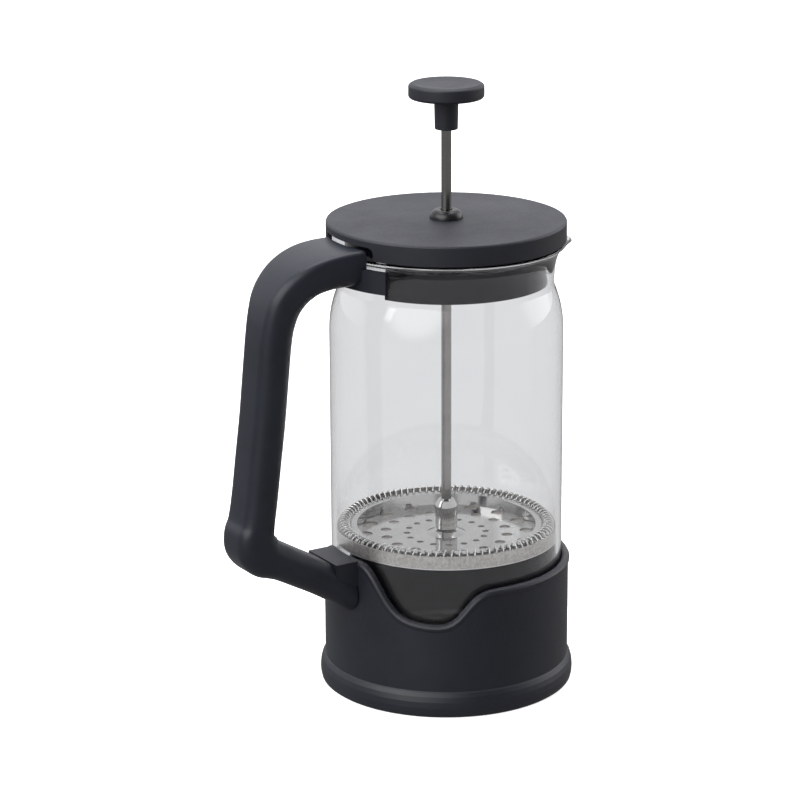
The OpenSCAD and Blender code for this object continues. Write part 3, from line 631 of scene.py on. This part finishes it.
DOME_R, SHANK_IN, DOME_LIFT = 2.9, 2.3, 0.05
gr, g0, g1 = guide_hi.x / MM, lid_top / MM, guide_hi.z / MM
dome = [(gr - DOME_R + DOME_R * math.cos(t), g0 + 0.1 + (g1 - g0 - 0.1) * math.sin(t))
        for t in [math.radians(x) for x in range(0, 91, 9)]]
outline = [(gr - SHANK_IN, guide_lo.z / MM), (gr - SHANK_IN, g0 + DOME_LIFT), (gr, g0 + DOME_LIFT)]
outline += dome + [(bore + 0.5, g1), (bore + 0.15, g1 - 0.12), (bore, g1 - 0.5), (bore, guide_lo.z / MM)]
guide = lathe("guide_dome", [(x * MM, z * MM) for x, z in outline], 128, sharp=50)
finish_piece(guide, "lid", M_GUIDE, "guide_plastic", "rod_guide")

hr, h0, h1 = hub_hi.x / MM, hub_lo.z / MM, hub_hi.z / MM
hub = lathe("hub_barrel", fillet([
    (rod_r + 0.02, h0, 0), (hr - 1.0, h0, 0.2), (hr, h0 + 1.1, 0.3), (hr, h1 - 3.2, 1.6),
    (hr - 1.2, h1 - 0.7, 1.4), (bore, h1, 0.4), (rod_r + 0.02, h1 - 0.2, 0)], 8), 96, sharp=45)
finish_piece(hub, "plunger", M_HUB, "polished_steel", "rod_hub")

# ---------------------------------------------------------------- floor, lights, world, camera
# White to look at, light grey through glass and dim in reflections, as a cut-out studio shot has it
THROUGH, FLOOR_DIM, FLOOR_GLOW = 0.8, 0.27, 0.72
bpy.ops.mesh.primitive_grid_add(x_subdivisions=8, y_subdivisions=8, size=30, location=(0, 0, 0))
floor = bpy.context.object
floor.name = "floor"
fm = Mat("floor_mat", (0.9, 0.9, 0.9), 0.85, spec=0.1)
floor_tone = fm.ramp(fm.noise(3, 2), [(0.3, (0.895, 0.895, 0.9)), (0.7, (0.91, 0.91, 0.91))])
fm.link(floor_tone, fm.p.inputs["Base Color"])
fm.p.inputs["Emission Color"].default_value = (1, 1, 1, 1)
fm.p.inputs["Emission Strength"].default_value = FLOOR_GLOW
ray = fm.n("ShaderNodeLightPath").outputs
through, dim = fm.n("ShaderNodeEmission"), fm.n("ShaderNodeEmission")
through.inputs["Color"].default_value = (0.985, 0.985, 1.0, 1)
through.inputs["Strength"].default_value = THROUGH
dim.inputs["Strength"].default_value = FLOOR_DIM
unseen = fm.mix(ray["Is Transmission Ray"], dim.outputs[0], through.outputs[0])
fm.link(fm.mix(ray["Is Camera Ray"], unseen, fm.p.outputs[0]), fm.out.inputs[0])
floor.data.materials.append(fm.mat)

toward = Vector((math.sin(VIEW_AZ), -math.cos(VIEW_AZ), 0))
right = Vector((math.cos(VIEW_AZ), math.sin(VIEW_AZ), 0))

# Brightness of the sky from behind the object (0) to behind the camera (1)
SKY = [(0.0, 1.0), (0.3, 0.95), (0.45, 0.5), (0.62, 0.12), (1.0, 0.07)]
SKY_TINT = (0.98, 0.985, 1.03)
# Soft lamps with no hard edge, so that the glass shows no window shape: direction, core, edge, power
GLOWS = [(-right * 0.75 + toward * 1.1 + Vector((0, 0, 0.8)), 0.985, 0.80, 3.4),
         (right * 1.1 - toward * 0.45 + Vector((0, 0, 0.3)), 0.99, 0.86, 1.5)]
world = bpy.data.worlds.new("studio")
bpy.context.scene.world = world
sky = Nodes(world, "Generated")


def sky_dot(direction):
    """How closely a direction of the sky points along the given one."""
    node = sky.n("ShaderNodeVectorMath", operation="DOT_PRODUCT")
    node.inputs[1].default_value = tuple(direction)
    sky.link(sky.coord, node.inputs[0])
    return node.outputs["Value"]


facing = sky.span(sky_dot(toward + Vector((0, 0, -0.35))), 0.0, 1.0, -1.0, 1.0)
glow = sky.ramp(facing, [(pos, tuple(v * c for c in SKY_TINT)) for pos, v in SKY])
for aim, core, edge, power in GLOWS:
    add = sky.n("ShaderNodeVectorMath")
    sky.link(glow, add.inputs[0])
    sky.link(sky.span(sky_dot(aim.normalized()), 0.0, power, edge, core, "SMOOTHERSTEP"), add.inputs[1])
    glow = add.outputs[0]
# The sky is white to look at and light grey through glass, like the floor
ray = sky.n("ShaderNodeLightPath").outputs
for kind, v in (("Is Transmission Ray", THROUGH), ("Is Camera Ray", 1.0)):
    swap = sky.n("ShaderNodeMix", data_type="RGBA")
    sky.link(ray[kind], swap.inputs["Factor"])
    sky.link(glow, swap.inputs[6])
    swap.inputs[7].default_value = (v, v, v, 1)
    glow = swap.outputs[2]
backdrop, world_out = sky.n("ShaderNodeBackground"), sky.n("ShaderNodeOutputWorld")
sky.link(glow, backdrop.inputs[0])
sky.link(backdrop.outputs[0], world_out.inputs[0])


def area(name, loc, target, size, power):
    light = bpy.data.lights.new(name, "AREA")
    light.shape, light.size, light.size_y = "RECTANGLE", size[0], size[1]
    light.energy = power
    ob = bpy.data.objects.new(name, light)
    ob.location = loc
    ob.rotation_euler = (Vector(target) - Vector(loc)).to_track_quat("-Z", "Y").to_euler()
    bpy.context.scene.collection.objects.link(ob)


centre = Vector((0, 0, 0.13))
area("key_left", centre - right * 1.1 + toward * 0.35 + Vector((0, 0, 0.75)), centre, (0.7, 0.9), 4)
area("top_soft", centre - toward * 0.25 + Vector((0, 0, 1.3)), centre, (1.2, 1.0), 10)

# The camera that was fitted to the photo
PHOTO_PX, SENSOR, F_PX, SHIFT_PX = 800, 36, 3100.0, -46.3
PITCH, CAM_H, CAM_D = math.radians(16.6), 0.490, 1.238
cam_data = bpy.data.cameras.new("camera")
cam_data.sensor_width = SENSOR
cam_data.lens = F_PX / PHOTO_PX * SENSOR
cam_data.shift_x = SHIFT_PX / PHOTO_PX
cam_data.clip_start, cam_data.clip_end = 0.05, 60
cam = bpy.data.objects.new("camera", cam_data)
cam.location = toward * CAM_D + Vector((0, 0, CAM_H))
look = -toward * math.cos(PITCH) - Vector((0, 0, math.sin(PITCH)))
cam.rotation_euler = look.to_track_quat("-Z", "Y").to_euler()
bpy.context.scene.collection.objects.link(cam)
bpy.context.scene.camera = cam
bpy.context.scene.view_settings.view_transform = "Standard"
bpy.context.scene.view_settings.look = "None"
